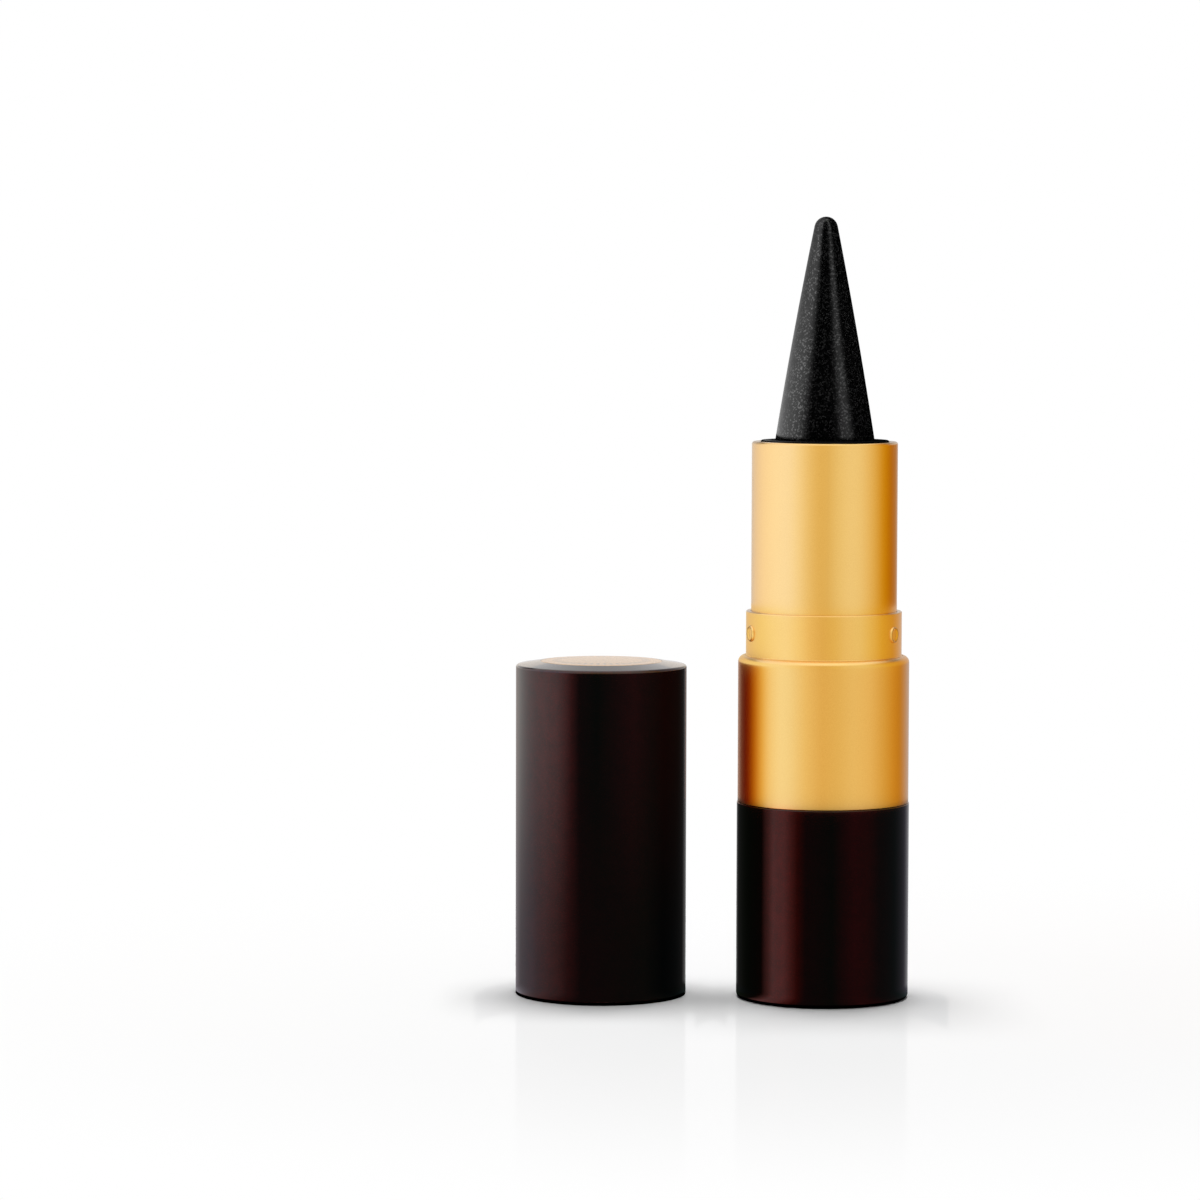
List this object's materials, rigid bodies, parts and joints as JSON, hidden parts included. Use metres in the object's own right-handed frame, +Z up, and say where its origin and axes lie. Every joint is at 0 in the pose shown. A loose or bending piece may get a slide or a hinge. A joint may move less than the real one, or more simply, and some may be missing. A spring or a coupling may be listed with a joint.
{
  "type": "twist-up eyeliner",
  "caption": "Twist-up kohl eyeliner in a lipstick-type case: turning the gold tube drives a black cone in or out; separate dark cap.",
  "frame": {"origin": "centre of the flat foot of the case, where its axis meets the surface it stands on", "axes": "+Z up along the axis of the case, towards the tip of the stick; +X away from the cap, which stands on the -X side; -Y towards the picture's camera"},
  "size_m": [0.0435, 0.0209, 0.086],
  "materials": {
    "base_shell": "gloss",
    "base_insert": "satin",
    "base_weight": "turned",
    "collar": "gold anodised, satin",
    "guide_tube": "gloss",
    "tube_shell": "gold anodised, satin",
    "spiral_sleeve": "satin",
    "carrier_cup": "satin",
    "stick": "waxy, fine sparkle",
    "cap_shell": "gloss",
    "cap_liner": "satin",
    "cap_disc": "gold anodised, satin"
  },
  "bodies": {
    "base": {"base_shell": "base_shell", "base_insert": "base_insert", "base_weight": "base_weight", "collar": "collar", "guide_tube": "guide_tube"},
    "tube": {"tube_shell": "tube_shell", "spiral_sleeve": "spiral_sleeve"},
    "carrier": {"carrier_cup": "carrier_cup", "stick": "stick"},
    "cap": {"cap_shell": "cap_shell", "cap_liner": "cap_liner", "cap_disc": "cap_disc"}
  },
  "joints": [
    {"name": "tube_twist", "type": "hinge", "parent": "base", "child": "tube", "pos_m": [0, 0, 0], "axis": [0, 0, 1], "range_deg": [0, 540.2]},
    {"name": "carrier_slide", "type": "slide", "parent": "base", "child": "carrier", "axis": [0, 0, 1], "range_m": [-0.0259, 0]},
    {"name": "cap_lift", "type": "slide", "parent": "base", "child": "cap", "axis": [0, 0, 1], "range_m": [0, 0.09]}
  ],
  "couplings": [
    {"joint": "tube_twist", "follows": "carrier_slide", "rad_per_m": -363.89}
  ]
}
